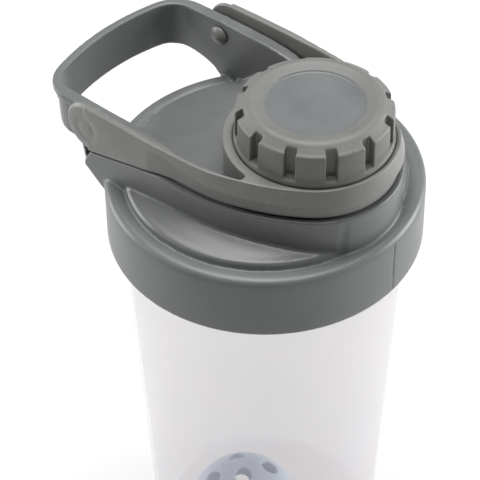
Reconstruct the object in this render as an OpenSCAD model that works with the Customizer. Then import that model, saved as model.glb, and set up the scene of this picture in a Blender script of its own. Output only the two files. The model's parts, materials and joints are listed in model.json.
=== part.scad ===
// Protein shaker bottle: a tapered translucent bottle with a screw lid that carries a fixed
// carry loop, a hinged yoke that holds the screw cap over the drinking spout, and a mixing ball.
// Origin: centre of the base, on the surface it stands on. +X points to the spout, +Z up.

/* [Bottle] */
// Height of the bottle from its base to the lower edge of the lid
bottle_h = 155; // [120:1:220]
// Outer radius just above the base
bottle_base_r = 39.6; // [38.5:0.1:41]
// Outer radius under the lid
bottle_top_r = 44.4; // [44:0.1:44.6]
// Wall thickness at the corners of the section
bottle_wall = 2.6; // [2.4:0.1:3]
// Depth by which each of the four soft panels is flatter than the round wall
panel_depth = 1.2; // [0.4:0.1:1.3]
// Angle of the middle of the first panel around the bottle
panel_turn = 20; // [0:1:89]

/* [Lid] */
// Outer radius of the skirt at its lower edge
skirt_r = 48; // [47.5:0.1:49]
// Radius of the rounded shoulder of the skirt
rim_round = 2.2; // [1.6:0.1:2.6]
// Rise of the domed deck from its edge to its middle
dome_rise = 6.6; // [5:0.1:8]
// Lead of the lid thread
lid_lead = 5; // [4.8:0.1:6]

/* [Carry loop] */
// Half of the inner width between the arms of the loop
loop_half_w = 26; // [25.9:0.1:26.4]
// Distance from the bottle axis to the outer face of the loop's end
loop_reach = 65.7; // [64:0.1:70]
// Radius of the bow of the loop's end in plan
loop_bow_r = 77; // [70:1:90]
// Outer corner radius of the loop in plan
loop_corner_r = 12; // [10:0.5:14]

/* [Yoke] */
// Height of the top face of the yoke above the lid's lower edge
yoke_top = 43.4; // [43:0.1:44]
// Half of the outer width of the yoke's straight arms
yoke_half_w = 33; // [32.9:0.1:33.4]
// Thickness of each arm
yoke_arm_t = 2.3; // [2:0.1:2.4]
// Depth of the recess in the lower half of the yoke's outer face
yoke_recess = 1.4; // [0.6:0.1:1.4]
// Distance from the bottle axis back to the hinge pegs
hinge_x = 40; // [38:0.5:42]
// Radius of the hinge pegs
peg_r = 2.2; // [1.8:0.1:2.4]

/* [Spout and cap] */
// Distance from the bottle axis to the spout axis
spout_x = 18; // [17:0.5:19]
// Inner radius of the spout
spout_bore_r = 13.4; // [12:0.1:13.6]
// Outer radius of the cap's grip drum
drum_r = 22.2; // [22:0.1:22.4]
// Number of grip notches
notch_count = 12; // [8:1:16]
// Lead of the cap thread
cap_lead = 4; // [3.8:0.1:4.2]

/* [Mixing ball] */
// Outer radius of the ball
ball_r = 19.6; // [16:0.1:20]
// Shell thickness of the ball
ball_wall = 1.6; // [1.2:0.1:2.4]

/* [Hidden] */
$fn = 96;
fit = 0.1;                     // radial clearance of a running fit
gap = 0.5;                     // gap between the yoke and the lid under it

bottle_grey = [0.90, 0.90, 0.93, 0.6];
lid_grey = [0.43, 0.44, 0.44];
cap_grey = [0.52, 0.53, 0.52];
seal_white = [0.88, 0.88, 0.86];
ball_blue = [0.45, 0.50, 0.58];

// bottle and neck
floor_t = 3;
base_round = 5;
foot_groove_r = 29;
foot_groove_w = 4;
foot_groove_d = 1;
shoulder_z = bottle_h + 2;
neck_r = 42.4;
neck_bore_r = 39.8;
rim_z = bottle_h + 16;
taper = atan((bottle_top_r - bottle_base_r) / bottle_h);
panel_r = 50;
panel_count = 4;

// lid, heights measured from the lid's lower edge
skirt_draft = 0.5;
skirt_bore_r = 44.6;
skirt_mouth_r = 45.3;
skirt_mouth_h = 2.4;
ceiling_h = 17.5;
gasket_t = 1.5;
rim_top = 20.4;
groove_r = 42.3;
groove_h = 19.1;
dome_edge_r = 40;
dome_edge_h = 22;
deck_t = 2;
dome_r = (dome_edge_r * dome_edge_r + dome_rise * dome_rise) / (2 * dome_rise);
housing_top = yoke_top - 10.3;
wall = 2;
inner_clear_r = 39.4;

// threads
thread_root = 3;
thread_crest = 1.6;
thread_turns = 1.5;
thread_z = 4.6;
bottle_thread_r = 43.9;
lid_thread_r = 42.9;
small_root = 2.2;
small_crest = 1.1;
small_turns = 1.25;
spout_thread_h = 37.4;
cap_thread_h = 38.4;

// spout and cap, heights from the lid's lower edge
spout_r = spout_bore_r + 2;
spout_crest_r = spout_r + 0.9;
lip_h = 51;
cap_bore_r = 18.2;
cap_crest_r = 17.5;
neck_foot_h = 34;
neck_out_r = 21.2;
bead_r = 21.9;
flange_r = 22.6;
flange_h = 42.2;
drum_h = 44.6;
cap_edge_h = 53.5;
cap_crest_h = 55.6;
disc_h = 54.3;
disc_r = 13.9;
cap_ceiling = 52.4;
seal_t = 1.2;
notch_w = 3.1;
notch_in_r = 19.8;
notch_turn = 20.5;
notch_floor = 0.2;

// yoke
ring_r = 25.6;
blend_x = -5;
fork_tip_x = 14.6;
housing_web_x = 12;
pad_r = 8.1;
hinge_h = yoke_top - pad_r;
yoke_low = housing_top + gap;
yoke_step = 38.3;
slope = 13;
slope_end_x = -14;
recess_x = -16;
recess_rise = 3;
recess_lead = 3;
recess_slope_x = [-11, 5];
blend_r = (yoke_half_w + ring_r) / 2
        + pow(spout_x - blend_x, 2) / (2 * (yoke_half_w - ring_r));
blend_y = blend_r - yoke_half_w;
blend_angle = atan2(blend_y, spout_x - blend_x);

// carry loop
loop_top = 40;
arm_top = 37.3;
loop_out_y = loop_half_w + 4;
band_t = 2.6;
web_t = 2;
web_in = 0.8;
arm_gap = 0.6;
arm_rise_x = [-6, -14, -24];
rim_t = 2.2;
flange_out = 3.2;
flange_corner = [-66.8, 19.8];
flange_bulge = 1.2;
arm_end_x = fork_tip_x - 0.7;
rail_end_x = -39.4;
rail_tip = [-42.3, 20.8];
rail_foot = [-35.4, 15];
boss_r = 5;
head_r = 3.4;
head_h = 2;

// ball
ball_x = 1.7;
ball_y = -14.3;
ball_z = floor_t + ball_r;

// points on an arc
function arc(cx, cy, r, a0, a1, n) =
    [for (i = [0:n]) let (a = a0 + (a1 - a0) * i / n) [cx + r * cos(a), cy + r * sin(a)]];

// the same points without the first and the last
function inner(points) = [for (i = [1:len(points) - 2]) points[i]];

// a shallow bow of points from p to q that rises by bulge to the left of the way
function bow(p, q, bulge, n) =
    let (side = [p.y - q.y, q.x - p.x] / norm(q - p))
    [for (i = [0:n]) let (t = i / n) p + (q - p) * t + side * 4 * bulge * t * (1 - t)];

// mirrors points across the X axis and turns their order round
function mirrored(points) = [for (i = [len(points) - 1:-1:0]) [points[i].x, -points[i].y]];

// height of the deck's dome at radius r, on a sphere lowered by drop
function dome_h(r, drop) = sqrt(dome_r * dome_r - r * r) - dome_r + dome_edge_h + dome_rise - drop;

// one ring of a thread's section: two points in the wall and two on the crest
function thread_ring(a, z, wall_r, crest_r, root, crest) = [
    [wall_r * cos(a), wall_r * sin(a), z - root / 2],
    [crest_r * cos(a), crest_r * sin(a), z - crest / 2],
    [crest_r * cos(a), crest_r * sin(a), z + crest / 2],
    [wall_r * cos(a), wall_r * sin(a), z + root / 2]];

// a right-hand helical thread whose ends fade into the wall
module thread(wall_r, crest_r, root, crest, lead, turns, per_turn, outward) {
    n = round(turns * per_turn);
    fade = 4;
    sunk = outward ? wall_r - 0.4 : wall_r + 0.4;
    faint_r = outward ? wall_r + 0.15 : wall_r - 0.15;
    rings = [for (i = [0:n])
        let (k = min(1, i / fade, (n - i) / fade))
        thread_ring(360 * i / per_turn, lead * i / per_turn, sunk,
                    faint_r + (crest_r - faint_r) * k, root, crest)];
    points = [for (ring = rings) for (p = ring) p];
    sides = [for (i = [0:n - 1]) for (j = [0:3])
        let (a = 4 * i + j, b = 4 * i + (j + 1) % 4)
        for (t = outward ? [[a, b + 4, a + 4], [a, b, b + 4]] : [[a, a + 4, b + 4], [a, b + 4, b]]) t];
    last = 4 * n;
    ends = outward
        ? [[3, 2, 1, 0], [last, last + 1, last + 2, last + 3]]
        : [[0, 1, 2, 3], [last + 3, last + 2, last + 1, last]];
    polyhedron(points = points, faces = concat(sides, ends));
}

// ---------- bottle ----------

module bottle_body() {
    intersection() {
        rotate_extrude()
            polygon(concat(
                [[0, 0], [foot_groove_r - foot_groove_w / 2, 0],
                 [foot_groove_r - foot_groove_d / 2, foot_groove_d],
                 [foot_groove_r + foot_groove_d / 2, foot_groove_d],
                 [foot_groove_r + foot_groove_w / 2, 0]],
                arc(bottle_base_r - base_round, base_round, base_round, -90, 0, 6),
                [[bottle_top_r, bottle_h], [bottle_top_r, shoulder_z], [0, shoulder_z]]));
        bottle_panels();
    }
}

// four large cylinders that lean with the taper: each one flattens a quarter of the wall
module bottle_panels() {
    intersection_for (k = [0:panel_count - 1])
        rotate([0, 0, panel_turn + 360 / panel_count * k])
            translate([bottle_base_r - panel_depth - panel_r, 0, 0])
                rotate([0, taper, 0])
                    translate([0, 0, -10])
                        cylinder(r = panel_r, h = bottle_h + 30);
}

module bottle_cavity() {
    inner_base = bottle_base_r - bottle_wall;
    inner_top = bottle_top_r - bottle_wall;
    rotate_extrude()
        polygon(concat(
            [[0, floor_t]],
            arc(inner_base - base_round, floor_t + base_round, base_round, -90, 0, 6),
            [[inner_top, bottle_h - 4], [neck_bore_r, bottle_h], [neck_bore_r, rim_z + 1],
             [0, rim_z + 1]]));
}

module bottle() {
    color(bottle_grey)
    difference() {
        union() {
            bottle_body();
            translate([0, 0, bottle_h])
                cylinder(r = neck_r, h = rim_z - bottle_h);
            translate([0, 0, bottle_h + thread_z])
                thread(neck_r, bottle_thread_r, thread_root, thread_crest, lid_lead,
                       thread_turns, 48, true);
        }
        bottle_cavity();
    }
}

// ---------- plan outlines shared by the lid's housing and the yoke ----------

// points of the nose, from the +Y end of its blend round to the -Y end, grown by grow
function nose_points(grow) = concat(
    arc(blend_x, -blend_y, blend_r + grow, 90, blend_angle, 8),
    inner(arc(spout_x, 0, ring_r + grow, blend_angle, -blend_angle, 26)),
    arc(blend_x, blend_y, blend_r + grow, -blend_angle, -90, 8));

// nose and straight arms as one filled outline, grown by grow on every side
module nose_plan(grow, back) {
    polygon(concat(nose_points(grow),
                   [[back, -yoke_half_w - grow], [back, yoke_half_w + grow]]));
}

// ---------- lid ----------

module lid_shell() {
    steps = 10;
    rotate_extrude()
        polygon(concat(
            [for (i = [0:steps]) let (r = dome_edge_r * i / steps) [r, dome_h(r, 0)]],
            arc(dome_edge_r, dome_edge_h - 1.7, 1.7, 80, 10, 4),
            [[groove_r - 0.3, groove_h], [groove_r + 0.1, groove_h],
             [groove_r + 0.4, rim_top - 0.4], [groove_r + 2.2, rim_top]],
            arc(skirt_r - skirt_draft - rim_round, rim_top - rim_round, rim_round, 90, 0, 8),
            [[skirt_r, 0], [skirt_mouth_r, 0], [skirt_mouth_r, skirt_mouth_h],
             [skirt_bore_r, skirt_mouth_h + 0.7], [skirt_bore_r, ceiling_h],
             [inner_clear_r, ceiling_h]],
            [for (i = [steps:-1:0]) let (r = inner_clear_r * i / steps) [r, dome_h(r, deck_t)]]));
}

// side view of everything that lies under the yoke, drawn in X and height
module rail_profile() {
    low_x = -hinge_x + pad_r * sin(slope);
    low_h = hinge_h - pad_r * cos(slope) - gap;
    rise = (slope_end_x - low_x) * tan(slope);
    difference() {
        polygon([rail_foot, rail_tip, [rail_tip.x + 0.3, rail_tip.y + 1.6], [rail_end_x, low_h],
                 [low_x, low_h], [slope_end_x, low_h + rise], [slope_end_x + 4, housing_top],
                 [skirt_r, housing_top], [skirt_r, rail_foot.y]]);
        translate([-hinge_x, hinge_h])
            circle(r = pad_r + gap);
    }
}

// lays a side view drawn in X and height across the object's whole width
module across(half_w) {
    translate([0, half_w, 0])
        rotate([90, 0, 0])
            linear_extrude(height = 2 * half_w)
                children();
}

// rails under the yoke's arms that widen into the housing round the spout
module housing() {
    difference() {
        intersection() {
            linear_extrude(height = housing_top)
                difference() {
                    nose_plan(0, rail_tip.x - 1);
                    difference() {
                        translate([rail_tip.x - 2, -loop_half_w])
                            square([housing_web_x - rail_tip.x + 2, 2 * loop_half_w]);
                        translate([spout_x, 0])
                            circle(r = ring_r);
                    }
                }
            across(yoke_half_w + 5)
                rail_profile();
        }
        cylinder(r = skirt_bore_r + 1.5, h = ceiling_h);
    }
}

// the housing is hollow below, open to the inside of the lid
module housing_hollow() {
    linear_extrude(height = housing_top - wall)
        intersection() {
            difference() {
                nose_plan(-wall, -24);
                difference() {
                    translate([-25, -loop_half_w - wall])
                        square([housing_web_x + 25, 2 * (loop_half_w + wall)]);
                    translate([spout_x, 0])
                        circle(r = ring_r - wall);
                }
            }
            circle(r = inner_clear_r);
        }
}

// outline of the carry loop with a bowed end, inset at its end and at its sides
module loop_outline(end_in, side_in, front) {
    bow_x = loop_bow_r - loop_reach;
    bow_r = loop_bow_r - end_in;
    corner = loop_corner_r - side_in;
    half_w = loop_out_y - side_in;
    corner_y = half_w - corner;
    turn = asin(corner_y / (bow_r - corner));
    corner_x = bow_x - (bow_r - corner) * cos(turn);
    side = arc(corner_x, corner_y, corner, 90, 180 - turn, 6);
    polygon(concat([[front, half_w]], side,
                   inner(arc(bow_x, 0, bow_r, 180 - turn, 180 + turn, 10)),
                   mirrored(side), [[front, -half_w]]));
}

// side view of the loop: its end is tall, its arms sink towards the spout
module loop_profile(low) {
    polygon(concat(low, [[-inner_clear_r + 3, ceiling_h], [fork_tip_x, ceiling_h],
                         [fork_tip_x, arm_top], [arm_rise_x[0], arm_top],
                         [arm_rise_x[1], loop_top - 1], [arm_rise_x[2], loop_top],
                         [-loop_reach - 4, loop_top]]));
}

// lower edge of the loop in side view, from its end to the deck
loop_low_edge = [[-loop_reach - 4, 25.6], [-57, 24.4], [-50, 23.7], [-45.5, 22.6], [-42, 21],
                 [-39.6, 18.6]];

// plan of the flange along the loop's lower edge, which runs out to the rails
module flange_plan() {
    bow_x = loop_bow_r - loop_reach;
    bow_r = loop_bow_r + flange_out;
    turn = asin(flange_corner.y / bow_r);
    side = bow([rail_tip.x + 1, yoke_half_w - 0.3], flange_corner, flange_bulge, 5);
    polygon(concat([[rail_tip.x + 4, yoke_half_w - 0.3]], side,
                   arc(bow_x, 0, bow_r, 180 - turn, 180 + turn, 12),
                   mirrored(side), [[rail_tip.x + 4, -yoke_half_w + 0.3]]));
}

module carry_loop() {
    front = arm_end_x;
    // web, trimmed to stay inside the yoke's curved arms
    intersection() {
        linear_extrude(height = loop_top)
            intersection() {
                difference() {
                    loop_outline(web_in, loop_out_y - loop_half_w - web_t, front);
                    loop_outline(band_t, loop_out_y - loop_half_w, front + 1);
                }
                nose_plan(-yoke_arm_t - arm_gap, -loop_reach - 5);
            }
        across(yoke_half_w)
            loop_profile(loop_low_edge);
    }
    // rim along the top
    intersection() {
        translate([0, 0, loop_top - rim_t])
            linear_extrude(height = rim_t)
                intersection() {
                    difference() {
                        loop_outline(0, 0, front);
                        loop_outline(band_t, loop_out_y - loop_half_w, front + 1);
                    }
                    nose_plan(-yoke_arm_t - arm_gap, -loop_reach - 5);
                }
        across(yoke_half_w)
            loop_profile(loop_low_edge);
    }
    // flange along the lower edge
    intersection() {
        linear_extrude(height = loop_top)
            difference() {
                flange_plan();
                loop_outline(band_t, loop_out_y - loop_half_w, front + 1);
            }
        across(yoke_half_w)
            polygon(concat(loop_low_edge,
                           [for (i = [len(loop_low_edge) - 1:-1:0]) loop_low_edge[i] + [0, rim_t]]));
    }
    // bosses round the hinge pegs
    for (side = [0, 180])
        rotate([0, 0, side])
            translate([side == 0 ? -hinge_x : hinge_x, -loop_out_y + 0.1, hinge_h])
                rotate([-90, 0, 0])
                    cylinder(r = boss_r, h = loop_out_y - loop_half_w - 1);
}

module spout() {
    translate([spout_x, 0, 0])
        rotate_extrude()
            polygon([[0, housing_top - wall], [spout_r, housing_top - wall], [spout_r, lip_h - 1],
                     [spout_r - 0.8, lip_h], [0, lip_h]]);
    translate([spout_x, 0, spout_thread_h])
        thread(spout_r, spout_crest_r, small_root, small_crest, cap_lead, small_turns, 40, true);
}

module lid() {
    color(lid_grey)
    translate([0, 0, bottle_h]) {
        difference() {
            union() {
                lid_shell();
                housing();
                carry_loop();
                spout();
            }
            housing_hollow();
            translate([spout_x, 0, -1])
                cylinder(r = spout_bore_r, h = lip_h + 2);
            translate([-hinge_x, yoke_half_w, hinge_h])
                rotate([90, 0, 0])
                    cylinder(r = peg_r + fit, h = 2 * yoke_half_w);
        }
        translate([0, 0, thread_z])
            rotate([0, 0, 180])
                thread(skirt_bore_r, lid_thread_r, thread_root, thread_crest, lid_lead,
                       thread_turns, 48, false);
    }
}

module lid_gasket() {
    color(seal_white)
    translate([0, 0, rim_z])
        difference() {
            cylinder(r = neck_r, h = gasket_t);
            translate([0, 0, -1])
                cylinder(r = neck_bore_r, h = gasket_t + 2);
        }
}

// ---------- yoke ----------

// side view of the yoke: round pads at the hinge, a sloping underside, a flat top
module yoke_profile() {
    inset_r = pad_r - 0.05;
    low_x = -hinge_x + inset_r * sin(slope);
    low_h = hinge_h - inset_r * cos(slope);
    rise = (slope_end_x - low_x) * tan(slope);
    union() {
        translate([-hinge_x, hinge_h])
            circle(r = pad_r);
        polygon([[-hinge_x, hinge_h], [low_x, low_h], [slope_end_x, low_h + rise],
                 [slope_end_x + 4, yoke_low], [skirt_r, yoke_low], [skirt_r, yoke_top],
                 [-hinge_x, yoke_top]]);
    }
}

// open space between the yoke's arms, behind the ring that holds the cap
module fork_gap(back) {
    difference() {
        intersection() {
            nose_plan(-yoke_arm_t, back);
            translate([back - 1, -yoke_half_w])
                square([fork_tip_x - back + 1, 2 * yoke_half_w]);
        }
        translate([spout_x, 0])
            circle(r = ring_r);
    }
}

// recess in the lower half of the outer face, which fades out along the arms
module yoke_recesses() {
    fade = yoke_recess / (blend_x - recess_x);
    start_x = recess_x - recess_lead;
    start_y = yoke_half_w + 4 * fade;
    intersection() {
        linear_extrude(height = yoke_top)
            difference() {
                translate([start_x, -yoke_half_w * 2])
                    square([100, yoke_half_w * 4]);
                polygon(concat(nose_points(-yoke_recess),
                               [[start_x - 1, -start_y], [start_x - 1, start_y]]));
            }
        across(yoke_half_w + 1)
            polygon([[start_x - 1, 0], [skirt_r + 1, 0], [skirt_r + 1, yoke_step],
                     [recess_slope_x[1], yoke_step], [recess_slope_x[0], yoke_step + recess_rise],
                     [start_x - 1, yoke_step + recess_rise]]);
    }
}

module hinge_peg() {
    reach = yoke_half_w - yoke_arm_t;
    translate([-hinge_x, reach + 0.5, hinge_h])
        rotate([90, 0, 0])
            cylinder(r = peg_r, h = reach + 0.5 - loop_half_w + 0.3);
    translate([-hinge_x, loop_half_w - 0.15, hinge_h])
        rotate([90, 0, 0])
            intersection() {
                cylinder(r = head_r, h = head_h);
                translate([0, 0, head_h - head_r - 0.6])
                    sphere(r = head_r + 0.6);
            }
}

module cap_yoke() {
    back = -hinge_x - pad_r;
    color(lid_grey)
    translate([0, 0, bottle_h]) {
        difference() {
            intersection() {
                linear_extrude(height = yoke_top)
                    difference() {
                        nose_plan(0, back);
                        fork_gap(back - 1);
                    }
                across(yoke_half_w + 1)
                    yoke_profile();
            }
            yoke_recesses();
            // seat of the cap: flange recess, bore and the groove its bead slides in
            translate([spout_x, 0, flange_h])
                cylinder(r = flange_r + 0.3, h = 10);
            translate([spout_x, 0, yoke_low - 1])
                cylinder(r = neck_out_r + fit, h = 20);
            translate([spout_x, 0, yoke_low - 1])
                cylinder(r = bead_r + 0.3, h = flange_h - 1.8 - yoke_low + 1);
        }
        hinge_peg();
        mirror([0, 1, 0])
            hinge_peg();
    }
}

// ---------- cap ----------

module cap_body() {
    rotate_extrude()
        polygon(concat(
            [[cap_bore_r, neck_foot_h], [neck_out_r - 0.4, neck_foot_h],
             [neck_out_r, neck_foot_h + 0.2], [bead_r, neck_foot_h + 0.8],
             [bead_r, neck_foot_h + 1.2], [neck_out_r, neck_foot_h + 1.8], [neck_out_r, flange_h],
             [flange_r - 0.2, flange_h], [flange_r, flange_h + 0.4], [flange_r, drum_h - 0.6],
             [drum_r + 0.1, drum_h], [drum_r - 0.2, cap_edge_h - 0.8]],
            arc(drum_r - 1.0, cap_edge_h - 0.8, 0.8, 0, 80, 4),
            [[18.6, cap_crest_h - 0.25]],
            arc(17.4, cap_crest_h - 1.2, 1.2, 80, 120, 3),
            [[disc_r + 0.8, disc_h + 0.6], [disc_r + 0.1, disc_h + 0.45], [disc_r, disc_h],
             [0, disc_h], [0, cap_ceiling], [cap_bore_r, cap_ceiling]]));
}

module screw_cap() {
    color(cap_grey)
    translate([spout_x, 0, bottle_h]) {
        difference() {
            cap_body();
            for (k = [0:notch_count - 1])
                rotate([0, 0, notch_turn + 360 / notch_count * k])
                    translate([notch_in_r, -notch_w / 2, drum_h + notch_floor])
                        cube([10, notch_w, 20]);
        }
        translate([0, 0, cap_thread_h])
            rotate([0, 0, 180])
                thread(cap_bore_r, cap_crest_r, small_root, small_crest, cap_lead, small_turns,
                       40, false);
    }
}

module cap_seal() {
    color(seal_white)
    translate([spout_x, 0, bottle_h + cap_ceiling - seal_t])
        cylinder(r = cap_bore_r - 0.2, h = seal_t);
}

// ---------- mixing ball ----------

// one half of the ball, seen from its equator up: rows of round holes through a thin shell
module ball_half() {
    difference() {
        sphere(r = ball_r);
        sphere(r = ball_r - ball_wall);
        translate([0, 0, -ball_r])
            cube([3 * ball_r, 3 * ball_r, 2 * ball_r], center = true);
        cylinder(r = 3, h = ball_r * 2);
        for (row = [[24, 8, 3.2], [56, 5, 3]])
            for (k = [0:row[1] - 1])
                rotate([0, 90 - row[0], 360 / row[1] * k])
                    cylinder(r = row[2], h = ball_r * 2);
    }
}

module ball_upper_half() {
    color(ball_blue)
    translate([ball_x, ball_y, ball_z])
        ball_half();
}

module ball_lower_half() {
    color(ball_blue)
    translate([ball_x, ball_y, ball_z])
        mirror([0, 0, 1])
            ball_half();
}

bottle();
lid();
lid_gasket();
cap_yoke();
screw_cap();
cap_seal();
ball_upper_half();
ball_lower_half();
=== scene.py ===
"""The looks of a protein shaker bottle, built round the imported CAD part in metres.

Every moulding but the bottle starts from its CAD node: the node's surface is refined, turned into
a distance field, softened there as a mould softens its edges, and meshed again. The bottle is
lofted from its profile with a thinner wall, because light passes through it.
"""
import json
import math

import bmesh
import bpy
import numpy as np
import openvdb
from mathutils import Matrix, Vector

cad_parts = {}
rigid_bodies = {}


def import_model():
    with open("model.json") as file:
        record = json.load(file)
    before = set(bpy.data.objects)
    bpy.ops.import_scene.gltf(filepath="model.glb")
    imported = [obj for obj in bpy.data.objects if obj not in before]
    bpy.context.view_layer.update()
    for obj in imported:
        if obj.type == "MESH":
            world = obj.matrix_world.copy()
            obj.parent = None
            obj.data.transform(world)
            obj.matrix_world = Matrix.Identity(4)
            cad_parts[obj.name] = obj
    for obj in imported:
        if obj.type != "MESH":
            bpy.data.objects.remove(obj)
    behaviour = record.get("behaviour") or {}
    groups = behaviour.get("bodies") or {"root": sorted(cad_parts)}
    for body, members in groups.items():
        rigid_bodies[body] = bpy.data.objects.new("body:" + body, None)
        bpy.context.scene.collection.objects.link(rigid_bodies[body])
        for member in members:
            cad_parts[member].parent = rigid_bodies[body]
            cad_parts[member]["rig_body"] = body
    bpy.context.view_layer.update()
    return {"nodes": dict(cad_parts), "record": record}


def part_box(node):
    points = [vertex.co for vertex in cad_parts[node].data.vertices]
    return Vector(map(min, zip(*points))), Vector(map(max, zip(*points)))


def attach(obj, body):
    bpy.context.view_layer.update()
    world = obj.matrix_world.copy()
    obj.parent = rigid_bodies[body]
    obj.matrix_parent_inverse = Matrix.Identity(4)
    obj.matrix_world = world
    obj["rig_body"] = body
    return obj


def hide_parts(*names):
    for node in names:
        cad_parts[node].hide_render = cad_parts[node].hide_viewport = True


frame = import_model()

MM = 0.001

# ---------- places, from the frame ----------
LID_LOW, LID_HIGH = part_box("lid")
CAP_LOW, CAP_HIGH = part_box("screw_cap")
SKIRT_Z = LID_LOW.z
SPOUT_X = (CAP_LOW.x + CAP_HIGH.x) / 2
SKIRT_R = LID_HIGH.y
HINGE = Vector(next(j["pos_m"] for j in frame["record"]["behaviour"]["joints"]
                    if j["name"] == "yoke_flip"))

# ---------- camera; angles in degrees, its distance in metres, its lens in mm ----------
VIEW_AZIMUTH, VIEW_ELEVATION, VIEW_ROLL = 40, 43.48, 0.18
AIM_RIGHT, AIM_UP = 0.9776, 0.8449
VIEW_DISTANCE, LENS, SENSOR_WIDTH = 0.4476, 110.1, 36


def make_camera():
    """A long lens, looking down at the lid from the side of the spout."""
    azimuth, elevation, roll = map(math.radians, (VIEW_AZIMUTH, VIEW_ELEVATION, VIEW_ROLL))
    aim_right, aim_up = map(math.radians, (AIM_RIGHT, AIM_UP))
    right = Vector((math.cos(azimuth), math.sin(azimuth), 0))
    back = Vector((math.sin(azimuth) * math.cos(elevation),
                   -math.cos(azimuth) * math.cos(elevation), math.sin(elevation)))
    up = back.cross(right)
    position = Vector((0, 0, SKIRT_Z)) + VIEW_DISTANCE * back
    rolled_right = math.cos(roll) * right - math.sin(roll) * up
    rolled_up = math.sin(roll) * right + math.cos(roll) * up
    forward = -back
    tilted = math.cos(aim_up) * forward - math.sin(aim_up) * rolled_up
    axis_up = math.cos(aim_up) * rolled_up + math.sin(aim_up) * forward
    axis_right = math.cos(aim_right) * rolled_right + math.sin(aim_right) * tilted
    axis_forward = math.cos(aim_right) * tilted - math.sin(aim_right) * rolled_right
    data = bpy.data.cameras.new("camera")
    data.lens = LENS
    data.sensor_width = SENSOR_WIDTH
    camera = bpy.data.objects.new("camera", data)
    bpy.context.scene.collection.objects.link(camera)
    turn = Matrix((axis_right, axis_up, -axis_forward)).transposed().to_4x4()
    camera.matrix_world = Matrix.Translation(position) @ turn
    data.clip_start, data.clip_end = 0.01, 20
    bpy.context.scene.camera = camera


# ---------- light and floor ----------
# name, turn in degrees, distance and height in metres, size in metres, power in watts
SOFTBOXES = (
    ("overhead", 180, 0.12, 1.15, (0.75, 0.75), 14.5),
    ("left", -106, 0.9, 0.34, (0.5, 0.6), 6),
    ("right", 100, 0.9, 0.34, (0.5, 0.6), 9),
)
WORLD_LIGHT = 0.02
FLOOR_HALF, FLOOR_DROP = 6, 0.0002
FLOOR_GREY, FLOOR_GLOW = 0.4, 0.5


def softbox(name, turn, distance, height, size, power):
    """A soft light, turned by so many degrees round the object from the camera's side."""
    data = bpy.data.lights.new(name, "AREA")
    data.shape = "RECTANGLE"
    data.size, data.size_y = size
    data.energy = power
    light = bpy.data.objects.new(name, data)
    bpy.context.scene.collection.objects.link(light)
    angle = math.radians(VIEW_AZIMUTH - 90 + turn)
    light.location = (distance * math.cos(angle), distance * math.sin(angle), height)
    middle = Vector((0, 0, SKIRT_Z))
    light.rotation_euler = (middle - light.location).to_track_quat("-Z", "Y").to_euler()
    light.visible_camera = False


def make_studio():
    """A dim world, three soft lights and a pale floor that glows a little, as in a light tent."""
    world = bpy.data.worlds.new("studio")
    bpy.context.scene.world = world
    world.use_nodes = True
    background = world.node_tree.nodes["Background"]
    background.inputs["Color"].default_value = (1, 1, 1, 1)
    background.inputs["Strength"].default_value = WORLD_LIGHT
    for light in SOFTBOXES:
        softbox(*light)
    size = FLOOR_HALF
    mesh = bpy.data.meshes.new("floor")
    mesh.from_pydata([(-size, -size, 0), (size, -size, 0), (size, size, 0), (-size, size, 0)],
                     [], [(0, 1, 2, 3)])
    floor = bpy.data.objects.new("floor", mesh)
    bpy.context.scene.collection.objects.link(floor)
    floor.location.z = -FLOOR_DROP
    material, shader = new_material("floor")
    shader.inputs["Base Color"].default_value = (FLOOR_GREY, FLOOR_GREY, FLOOR_GREY, 1)
    shader.inputs["Roughness"].default_value = 0.9
    shader.inputs["Emission Color"].default_value = (1, 1, 1, 1)
    shader.inputs["Emission Strength"].default_value = FLOOR_GLOW
    mesh.materials.append(material)
    bpy.context.scene.view_settings.view_transform = "Standard"


# ---------- materials ----------
FLAT_POINTINESS = 0.51
PLASTIC_IOR = 1.49
VEIL_TONES = ((0.31, 0.275, 0.285), (0.27, 0.265, 0.295))
# the glow tint on the next line and the glow strength after it are painted light: emission standing
# in for light scattered in the milky plastic
VEIL_CREASE_TONE, PAINTED_VEIL_GLOW_TINT = (0.95, 0.93, 0.95), (1, 0.96, 0.975)
VEIL_ALPHA, PAINTED_VEIL_GLOW = 0.22, 0.29


def new_material(name):
    material = bpy.data.materials.new(name)
    material.use_nodes = True
    return material, material.node_tree.nodes["Principled BSDF"]


def link(tree, source, target):
    tree.links.new(source, target)


def feed(tree, value, socket):
    """Links a socket to another socket, or sets it to a number or a colour."""
    if isinstance(value, bpy.types.NodeSocket):
        link(tree, value, socket)
    elif isinstance(value, (int, float)):
        socket.default_value = value
    else:
        socket.default_value = (*value, 1)


def noise(tree, coords, scale, detail=2.0, rough=0.5):
    node = tree.nodes.new("ShaderNodeTexNoise")
    node.inputs["Scale"].default_value = scale
    node.inputs["Detail"].default_value = detail
    node.inputs["Roughness"].default_value = rough
    link(tree, coords, node.inputs["Vector"])
    return node.outputs["Fac"]


def ranged(tree, value, low, high, from_low=0.3, from_high=0.7):
    node = tree.nodes.new("ShaderNodeMapRange")
    node.inputs["From Min"].default_value = from_low
    node.inputs["From Max"].default_value = from_high
    node.inputs["To Min"].default_value = low
    node.inputs["To Max"].default_value = high
    link(tree, value, node.inputs["Value"])
    return node.outputs["Result"]


def mixed(tree, fac, a, b, blend="MIX"):
    """A colour mix; a and b are sockets or colours."""
    node = tree.nodes.new("ShaderNodeMix")
    node.data_type = "RGBA"
    node.blend_type = blend
    for socket, value in ((node.inputs[0], fac), (node.inputs[6], a), (node.inputs[7], b)):
        feed(tree, value, socket)
    return node.outputs[2]


def shade(colour, factor):
    return tuple(c * factor for c in colour)


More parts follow.
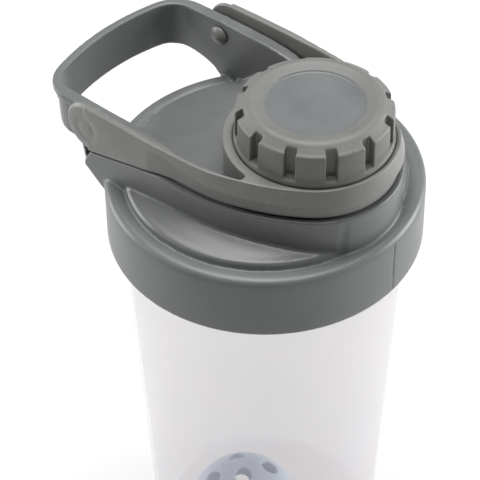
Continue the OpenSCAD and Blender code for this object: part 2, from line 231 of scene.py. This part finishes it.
def combined(tree, operation, a, b):
    """Two numbers put together by a Math node; both are sockets or numbers."""
    node = tree.nodes.new("ShaderNodeMath")
    node.operation = operation
    feed(tree, a, node.inputs[0])
    feed(tree, b, node.inputs[1])
    return node.outputs[0]


def product(tree, a, b):
    return combined(tree, "MULTIPLY", a, b)


def zone(tree, coords, centre_x, radius, low_z, fade=0.4 * MM):
    """1 inside an upright cylinder's radius and above low_z, 0 outside."""
    parts = tree.nodes.new("ShaderNodeSeparateXYZ")
    link(tree, coords, parts.inputs[0])
    flat = tree.nodes.new("ShaderNodeCombineXYZ")
    for axis in ("X", "Y"):
        link(tree, parts.outputs[axis], flat.inputs[axis])
    away = tree.nodes.new("ShaderNodeVectorMath")
    away.operation = "DISTANCE"
    link(tree, flat.outputs[0], away.inputs[0])
    away.inputs[1].default_value = (centre_x, 0, 0)
    inside = ranged(tree, away.outputs["Value"], 1, 0, radius - fade, radius + fade)
    above = ranged(tree, parts.outputs["Z"], 0, 1, low_z - fade, low_z + fade)
    return product(tree, inside, above)


def blended(tree, fac, a, b):
    """A number between a and b; both are sockets or numbers."""
    node = tree.nodes.new("ShaderNodeMix")
    for socket, value in zip(node.inputs[:1] + node.inputs[2:4], (fac, a, b)):
        feed(tree, value, socket)
    return node.outputs[0]


def grey(tree, value):
    """A number as a grey colour."""
    node = tree.nodes.new("ShaderNodeCombineColor")
    for socket in node.inputs:
        link(tree, value, socket)
    return node.outputs[0]


def pointy_edge_mask(tree, full):
    """0 on flat ground, rising to 1 on outer edges of that pointiness."""
    edge = tree.nodes.new("ShaderNodeNewGeometry").outputs["Pointiness"]
    return ranged(tree, edge, 0, 1, FLAT_POINTINESS, full)


def roughened(tree, shader, height, distance):
    """Bumps of that height in metres, from a socket that says how much of it there is."""
    bump = tree.nodes.new("ShaderNodeBump")
    bump.inputs["Strength"].default_value = 1
    bump.inputs["Distance"].default_value = distance
    link(tree, height, bump.inputs["Height"])
    link(tree, bump.outputs["Normal"], shader.inputs["Normal"])


def moulded_plastic(name, colour, roughness, grain=0.35 * MM, grain_depth=0.012 * MM,
                    worn=1.4, patch=None):
    """Moulded plastic: eroded grain, faint flow marks, paler rubbed edges.

    patch is (centre_x, radius, low_z, colour, roughness, grain_depth) of a round area with a
    surface of its own, such as a polished disc or a coarser deck."""
    material, shader = new_material(name)
    tree = material.node_tree
    coords = tree.nodes.new("ShaderNodeTexCoord").outputs["Object"]
    blotch = noise(tree, coords, 1 / (14 * MM), 3)
    speckle = noise(tree, coords, 1 / (0.5 * MM), 2)
    base, rough, depth = colour, roughness, grain_depth
    if patch:
        centre_x, radius, low_z, other, other_rough, other_depth = patch
        area = zone(tree, coords, centre_x, radius, low_z)
        base = mixed(tree, area, colour, other)
        rough = blended(tree, area, roughness, other_rough)
        depth = blended(tree, area, grain_depth, other_depth)
    light = ranged(tree, blotch, 0.93, 1.07)
    fine = ranged(tree, speckle, 0.96, 1.07)
    tone = mixed(tree, 1.0, base, grey(tree, product(tree, light, fine)), "MULTIPLY")
    scuff = noise(tree, coords, 1 / (3 * MM), 4, 0.7)
    wear = product(tree, pointy_edge_mask(tree, 0.58), ranged(tree, scuff, 0.35, 0.9))
    tone = mixed(tree, wear, tone, shade(colour, worn))
    link(tree, tone, shader.inputs["Base Color"])
    total = combined(tree, "ADD", ranged(tree, blotch, -0.04, 0.05), rough)
    link(tree, total, shader.inputs["Roughness"])
    shader.inputs["IOR"].default_value = PLASTIC_IOR
    height = noise(tree, coords, 1 / grain, 2, 0.6)
    share = product(tree, depth, 1 / MM) if patch else depth / MM
    roughened(tree, shader, product(tree, height, share), MM)
    return material


def frosted_bottle():
    """Milky polypropylene: a thin veil over what is inside, with a painted glow (emission) standing
    in for the light the plastic scatters.
    """
    material, shader = new_material("bottle_frosted")
    tree = material.node_tree
    coords = tree.nodes.new("ShaderNodeTexCoord").outputs["Object"]
    cloud = noise(tree, coords, 1 / (30 * MM), 3)
    tone = mixed(tree, ranged(tree, cloud, 0, 1), *VEIL_TONES)
    # the bottle's colour is made paler along its creases and other pointy edges
    tone = mixed(tree, pointy_edge_mask(tree, 0.56), tone, VEIL_CREASE_TONE)
    link(tree, tone, shader.inputs["Base Color"])
    link(tree, ranged(tree, noise(tree, coords, 1 / (4 * MM), 4), 0.3, 0.4),
         shader.inputs["Roughness"])
    # painted glow: emission standing in for the light scattered inside the milky plastic
    shader.inputs["Emission Color"].default_value = (*PAINTED_VEIL_GLOW_TINT, 1)
    shader.inputs["Emission Strength"].default_value = PAINTED_VEIL_GLOW
    shader.inputs["Alpha"].default_value = VEIL_ALPHA
    shader.inputs["IOR"].default_value = PLASTIC_IOR
    roughened(tree, shader, noise(tree, coords, 1 / (0.6 * MM), 2), 0.008 * MM)
    return material


# ---------- mesh work: from a CAD node to a softened moulding ----------
WELD = 1e-7
BAND_VOXELS = 7


def corner_data(node, sharp_degrees=32):
    """Corner points and smoothed corner normals of every triangle of a CAD node."""
    bm = bmesh.new()
    bm.from_mesh(frame["nodes"][node].data)
    bmesh.ops.remove_doubles(bm, verts=bm.verts, dist=WELD)
    bmesh.ops.triangulate(bm, faces=bm.faces)
    limit = math.radians(sharp_degrees)
    for face in bm.faces:
        face.smooth = True
    for edge in bm.edges:
        edge.smooth = edge.is_manifold and edge.calc_face_angle(math.pi) < limit
    mesh = bpy.data.meshes.new("corners")
    bm.to_mesh(mesh)
    bm.free()
    count = len(mesh.loops)
    index = np.empty(count, np.int32)
    mesh.loops.foreach_get("vertex_index", index)
    points = np.empty(len(mesh.vertices) * 3, np.float32)
    mesh.vertices.foreach_get("co", points)
    normals = np.empty(count * 3, np.float32)
    mesh.corner_normals.foreach_get("vector", normals)
    points = points.reshape(-1, 3)[index].reshape(-1, 3, 3).astype(float)
    bpy.data.meshes.remove(mesh)
    return points, normals.reshape(-1, 3, 3).astype(float)


def rounded_surface(node, splits=5, bulge=0.75):
    """Each CAD triangle split and bulged to follow its corner normals, so facets vanish."""
    points, normals = corner_data(node)
    weights = []
    rows = {}
    for i in range(splits + 1):
        for j in range(splits + 1 - i):
            rows[i, j] = len(weights)
            weights.append((i, j, splits - i - j))
    weights = np.array(weights, float) / splits
    triangles = []
    for i in range(splits):
        for j in range(splits - i):
            triangles.append((rows[i, j], rows[i + 1, j], rows[i, j + 1]))
            if i + j < splits - 1:
                triangles.append((rows[i + 1, j], rows[i + 1, j + 1], rows[i, j + 1]))
    flat = np.einsum("wk,tkc->twc", weights, points)
    off = np.einsum("twkc,tkc->twk", flat[:, :, None, :] - points[:, None, :, :], normals)
    onto = flat[:, :, None, :] - off[..., None] * normals[:, None, :, :]
    curved = np.einsum("wk,twkc->twc", weights, onto)
    soup = flat + bulge * (curved - flat)
    faces = np.arange(len(points))[:, None, None] * len(weights) + np.array(triangles)[None]
    return soup.reshape(-1, 3), faces.reshape(-1, 3)


def smoothed(field, sigma):
    """A Gaussian blur of a dense field, sigma in voxels, one axis at a time."""
    if sigma <= 0:
        return field
    reach = int(math.ceil(2.5 * sigma))
    kernel = np.exp(-0.5 * (np.arange(-reach, reach + 1) / sigma) ** 2)
    kernel = (kernel / kernel.sum()).astype(np.float32)
    for axis in range(3):
        padding = [(reach, reach) if a == axis else (0, 0) for a in range(3)]
        padded = np.pad(field, padding, mode="edge")
        total = np.zeros_like(field)
        for k, weight in enumerate(kernel):
            part = [slice(None)] * 3
            part[axis] = slice(k, k + field.shape[axis])
            total += weight * padded[tuple(part)]
        field = total
    return field


def distance_field(node, voxel):
    """(field, origin): signed distance in metres to a CAD node on a grid of that pitch."""
    points, faces = rounded_surface(node)
    grid = openvdb.FloatGrid.createLevelSetFromPolygons(
        points.astype(np.float32), triangles=faces.astype(np.uint32),
        transform=openvdb.createLinearTransform(voxelSize=voxel), halfWidth=BAND_VOXELS)
    low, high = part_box(node)
    first = [int(math.floor(c / voxel)) - BAND_VOXELS for c in low]
    last = [int(math.ceil(c / voxel)) + BAND_VOXELS for c in high]
    shape = [b - a + 1 for a, b in zip(first, last)]
    field = np.empty(shape, np.float32)
    grid.copyToArray(field, ijk=first)
    return field, np.array(first) * voxel


def surface_of(name, field, origin, voxel, faces_wanted):
    """A smooth-shaded mesh object of the field's zero surface."""
    grid = openvdb.FloatGrid(background=float(field.max()))
    grid.copyFromArray(field)
    grid.transform = openvdb.createLinearTransform(voxelSize=voxel)
    points, triangles, quads = grid.convertToPolygons(isovalue=0, adaptivity=0)
    points = points + origin
    loops = np.concatenate([quads[:, ::-1].ravel(), triangles[:, ::-1].ravel()]).astype(np.int32)
    sizes = np.concatenate([np.full(len(quads), 4), np.full(len(triangles), 3)])
    mesh = bpy.data.meshes.new(name)
    mesh.vertices.add(len(points))
    mesh.vertices.foreach_set("co", points.astype(np.float32).ravel())
    mesh.loops.add(len(loops))
    mesh.loops.foreach_set("vertex_index", loops)
    mesh.polygons.add(len(sizes))
    starts = np.concatenate([[0], np.cumsum(sizes)[:-1]]).astype(np.int32)
    mesh.polygons.foreach_set("loop_start", starts)
    mesh.update(calc_edges=True)
    mesh.validate()
    mesh.shade_smooth()
    piece = bpy.data.objects.new(name, mesh)
    bpy.context.scene.collection.objects.link(piece)
    count = 2 * len(quads) + len(triangles)
    if count > faces_wanted:
        thin = piece.modifiers.new("thin", "DECIMATE")
        thin.ratio = faces_wanted / count
        apply_modifiers(piece)
    return piece


def apply_modifiers(piece):
    graph = bpy.context.evaluated_depsgraph_get()
    mesh = bpy.data.meshes.new_from_object(piece.evaluated_get(graph))
    piece.modifiers.clear()
    old = piece.data
    piece.data = mesh
    bpy.data.meshes.remove(old)
    mesh.shade_smooth()


def stand_for(piece, node, material):
    """The piece takes the CAD node's place, moves with its body and fills a material slot."""
    body = frame["nodes"][node]["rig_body"]
    piece.data.materials.clear()
    piece.data.materials.append(material)
    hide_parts(node)
    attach(piece, body)


def moulding(node, voxel, soften, faces_wanted, sculpt=None):
    """A CAD node's surface with every edge softened by about soften metres."""
    field, origin = distance_field(node, voxel)
    field = smoothed(field, soften / voxel)
    if sculpt:
        axes = [origin[a] + voxel * np.arange(field.shape[a]) for a in range(3)]
        x, y, z = np.meshgrid(*axes, indexing="ij", sparse=True)
        field = sculpt(field, x / MM, y / MM, (z - SKIRT_Z) / MM)
    return surface_of(node + "_moulding", field.astype(np.float32), origin, voxel, faces_wanted)


# ---------- detail cut into the distance fields; x, y and h above the skirt's edge in mm ----------
DECK_EDGE_R, DECK_EDGE_H, DECK_RISE = 40, 22, 6.6
LOOP_HALF_W, ARM_FILLET = 26, 6
FILLET_FADE_R, FILLET_FADE_X = (41, 36), (13, 7)
SKIRT_LEAN, SKIRT_LEAN_H = 0.5, 18
GROOVE_HALF_W, GROOVE_DEPTH, GROOVE_TOP_H = 0.22, 0.3, 18.5
YOKE_HALF_W, RING_R, BLEND_X, BAND_H = 33, 25.6, -5, 38.3
# how far the band leans in per mm of height, and between which x that sets in
BAND_LEANS = ((0.18, -16, -2), (0.12, 6, 14))
PAD_FACE_Y = 31.8
SINK_DEPTH, SINK_R, SINK_W = 0.22, 3.2, 1.2
CROWN_DEPTH, CROWN_R, PAD_R = 0.5, 3, 8.1


def ramp(value, low, high):
    """0 at low, 1 at high and straight between; low may be the larger one."""
    return np.clip((value - low) / (high - low), 0, 1)


def sculpt_lid(field, x, y, h):
    """Fillets between the deck and the loop's arms, and the mould's parting lines."""
    reach = np.hypot(x, y)
    dome_r = (DECK_EDGE_R ** 2 + DECK_RISE ** 2) / (2 * DECK_RISE)
    dome = np.sqrt(dome_r ** 2 - np.minimum(reach, DECK_EDGE_R) ** 2) - dome_r
    above = h - (dome + DECK_EDGE_H + DECK_RISE)
    beside = LOOP_HALF_W - np.abs(y)
    fillet = 0.01 + ARM_FILLET * ramp(reach, *FILLET_FADE_R) * ramp(x, *FILLET_FADE_X)
    overlap = np.maximum(fillet - np.abs(above - beside), 0)
    corner = np.minimum(above, beside) - overlap ** 2 / (4 * fillet)
    near = (above > -1) & (above < fillet) & (beside > -1) & (beside < fillet) & (fillet > 0.5)
    field = np.where(near, np.minimum(field, corner * MM), field)
    skirt_r = SKIRT_R / MM - SKIRT_LEAN * h / SKIRT_LEAN_H
    groove = np.maximum(np.abs(y) - GROOVE_HALF_W, skirt_r - GROOVE_DEPTH - reach)
    groove = np.maximum(groove, h - GROOVE_TOP_H)
    return np.maximum(field, -groove * MM)


def nose_distance(x, y):
    """Distance outside the yoke's outline in plan: straight arms, blends and the ring."""
    spout = SPOUT_X / MM
    blend_r = (YOKE_HALF_W + RING_R) / 2 + (spout - BLEND_X) ** 2 / (2 * (YOKE_HALF_W - RING_R))
    blend_y = blend_r - YOKE_HALF_W
    side = np.abs(y)
    turn = np.arctan2(side + blend_y, x - BLEND_X)
    blend = np.hypot(x - BLEND_X, side + blend_y) - blend_r
    ring = np.hypot(x - spout, side) - RING_R
    nose = np.where(turn > math.atan2(blend_y, spout - BLEND_X), blend, ring)
    return np.where(x < BLEND_X, side - YOKE_HALF_W, nose)


def sculpt_yoke(field, x, y, h):
    """The band's draft, the pads' crowned faces and the sink marks round the pegs."""
    lean = sum(amount * ramp(x, start, full) for amount, start, full in BAND_LEANS)
    band = nose_distance(x, y) + np.maximum(h - BAND_H, 0) * lean
    field = np.maximum(field, band * MM)
    from_peg = np.hypot(x - HINGE.x / MM, h - (HINGE.z - SKIRT_Z) / MM)
    on_face = np.abs(y) > PAD_FACE_Y
    sink = SINK_DEPTH * np.exp(-((from_peg - SINK_R) / SINK_W) ** 2) * on_face
    crown = CROWN_DEPTH * ramp(from_peg, CROWN_R, PAD_R) ** 2 * on_face * (x < HINGE.x / MM)
    return field + (sink + crown) * MM


# ---------- the bottle, lofted round its axis; lengths in mm ----------
BOTTLE_H, SHOULDER_Z, RIM_Z = 155, 157, 171
BASE_R, TOP_R, WALL, FLOOR = 39.6, 44.4, 1.4, 3
FOOT_ROUND, SHOULDER_ROUND, RIM_ROUND = 5, 0.6, 0.5
NECK_R, BORE_R, THREAD_R = 42.4, 39.8, 43.9
THREAD_Z, THREAD_LEAD, THREAD_TURNS, THREAD_FADE = 159.6, 5, 1.5, 0.08
THREAD_ROOT_HALF, THREAD_CREST_HALF = 1.5, 0.8
PANEL_R, PANEL_DEPTH, PANEL_TURN, PANELS = 50, 1.2, 20, 4
CREASE_SHARPNESS, FACING_COSINE, FAR_OUT = 9, 0.3, 5
# the middle of the base stays round inside this radius
ROUND_R = 30


def quarter(centre, radius, start, end, steps):
    """Points (r, z) of an arc between two angles in degrees."""
    return [(centre[0] + radius * math.cos(a), centre[1] + radius * math.sin(a))
            for a in np.radians(np.linspace(start, end, steps))]


def wall_r(z):
    """The tapered wall's outer radius at that height."""
    return BASE_R + (TOP_R - BASE_R) * z / BOTTLE_H


def bottle_profile():
    """Rows (r, z, kind) from the base's middle, up the outside and down the inside."""
    # a shallow ring groove under the base
    base = [(0, 0), (20, 0), (27, 0), (28, 0.5), (28.6, 0.9), (29.4, 0.9), (30, 0.5), (31, 0)]
    base += quarter((BASE_R - FOOT_ROUND, FOOT_ROUND), FOOT_ROUND, -90, -4, 12)
    outside = [(wall_r(z), z) for z in np.linspace(6, BOTTLE_H + 1, 52)]
    shoulder = quarter((TOP_R - SHOULDER_ROUND, SHOULDER_Z - SHOULDER_ROUND),
                       SHOULDER_ROUND, 0, 90, 5)
    shoulder += [(NECK_R + 0.3, SHOULDER_Z)]
    neck = [(NECK_R, z) for z in np.linspace(SHOULDER_Z + 0.3, RIM_Z - RIM_ROUND, 60)]
    rim = quarter((NECK_R - RIM_ROUND, RIM_Z - RIM_ROUND), RIM_ROUND, 0, 90, 5)
    rim += quarter((BORE_R + RIM_ROUND, RIM_Z - RIM_ROUND), RIM_ROUND, 90, 180, 5)
    inside = [(BORE_R, z) for z in (165, 160, BOTTLE_H + 0.5, BOTTLE_H - 0.2)]
    inside += [(wall_r(z) - WALL, z) for z in np.linspace(BOTTLE_H - 4, 9, 30)]
    foot = quarter((BASE_R - WALL - FOOT_ROUND, FLOOR + FOOT_ROUND), FOOT_ROUND, 0, -90, 10)
    foot += [(20, FLOOR), (0, FLOOR)]
    return ([(r, z, "panel") for r, z in base + outside + shoulder]
            + [(r, z, "thread") for r, z in neck]
            + [(r, z, "round") for r, z in rim + inside + foot])


def panelled(r, z, angle):
    """A round wall flattened by four large leaning cylinders, with soft creases."""
    total = np.ones_like(angle)
    centre = min(wall_r(z), TOP_R) - PANEL_DEPTH - PANEL_R
    for k in range(PANELS):
        turn = angle - math.radians(PANEL_TURN + 360 / PANELS * k)
        face = centre * np.cos(turn) + np.sqrt(PANEL_R ** 2 - (centre * np.sin(turn)) ** 2)
        face = np.where(np.cos(turn) > FACING_COSINE, face, r + FAR_OUT)
        total = total + np.exp(-CREASE_SHARPNESS * np.minimum(face - r, FAR_OUT))
    return r - np.log(total) / CREASE_SHARPNESS


def threaded(r, z, angle):
    """The neck's radius with its right-hand thread."""
    height = np.zeros_like(angle)
    for lap in (0, 1):
        turns = angle / (2 * math.pi) + lap
        fade = np.minimum(ramp(turns, 0, THREAD_FADE),
                          ramp(turns, THREAD_TURNS, THREAD_TURNS - THREAD_FADE))
        off = np.abs(z - THREAD_Z - THREAD_LEAD * turns)
        height = np.maximum(height, fade * ramp(off, THREAD_ROOT_HALF, THREAD_CREST_HALF))
    return r + (THREAD_R - NECK_R) * height


def bottle_loft(around=384):
    """The bottle as a closed mesh: one ring of points for each row of its profile."""
    rows = bottle_profile()
    angle = np.arange(around) * 2 * math.pi / around
    points = []
    for r, z, kind in rows[1:-1]:
        shaped = {"panel": panelled, "thread": threaded}.get(kind)
        radius = shaped(r, z, angle) if shaped and r > ROUND_R else np.full(around, float(r))
        points.append(np.stack([radius * np.cos(angle), radius * np.sin(angle),
                                np.full(around, float(z))], 1))
    count = len(points)
    bottom, top = count * around, count * around + 1
    points = np.concatenate(points + [np.array([[0, 0, rows[0][1]], [0, 0, rows[-1][1]]])]) * MM
    faces = []
    for j in range(around):
        k = (j + 1) % around
        faces.append((bottom, k, j))
        faces += [(i * around + j, i * around + k, (i + 1) * around + k, (i + 1) * around + j)
                  for i in range(count - 1)]
        faces.append(((count - 1) * around + j, (count - 1) * around + k, top))
    mesh = bpy.data.meshes.new("bottle_wall")
    mesh.from_pydata(points.tolist(), [], faces)
    mesh.shade_smooth()
    piece = bpy.data.objects.new("bottle_wall", mesh)
    bpy.context.scene.collection.objects.link(piece)
    return piece


# ---------- the scene ----------
make_camera()
make_studio()

deck = (0, 41.5 * MM, SKIRT_Z + 19 * MM, (0.136, 0.142, 0.139), 0.33, 0.022 * MM)
disc = (SPOUT_X, 13.9 * MM, CAP_HIGH.z - 3 * MM, (0.135, 0.144, 0.145), 0.4, 0.003 * MM)
lid_grey = moulded_plastic("lid_grey", (0.138, 0.146, 0.144), 0.38,
                           grain_depth=0.006 * MM, patch=deck)
yoke_grey = moulded_plastic("yoke_grey", (0.18, 0.18, 0.171), 0.38,
                            grain_depth=0.006 * MM, worn=1.12)
cap_grey = moulded_plastic("cap_grey", (0.153, 0.153, 0.146), 0.5,
                           grain_depth=0.016 * MM, patch=disc)
seal_white = moulded_plastic("seal_white", (0.8, 0.8, 0.78), 0.6, worn=1.05)
ball_blue = moulded_plastic("ball_blue", (0.55, 0.64, 0.77), 0.45)

# CAD node, slot, material, voxel and softening in mm, faces wanted, extra detail
MOULDINGS = (
    ("lid", "lid_plastic", lid_grey, 0.36, 0.3, 190000, sculpt_lid),
    ("cap_yoke", "yoke_plastic", yoke_grey, 0.3, 0.25, 110000, sculpt_yoke),
    ("screw_cap", "cap_plastic", cap_grey, 0.25, 0.14, 120000, None),
    ("lid_gasket", "seal_rubber", seal_white, 0.35, 0.2, 20000, None),
    ("cap_seal", "seal_rubber", seal_white, 0.3, 0.2, 12000, None),
    ("ball_upper_half", "ball_plastic", ball_blue, 0.3, 0.25, 40000, None),
    ("ball_lower_half", "ball_plastic", ball_blue, 0.3, 0.25, 40000, None),
)
for node, slot, material, voxel, soften, faces_wanted, sculpt in MOULDINGS:
    piece = moulding(node, voxel * MM, soften * MM, faces_wanted, sculpt)
    stand_for(piece, node, material)
stand_for(bottle_loft(), "bottle", frosted_bottle())
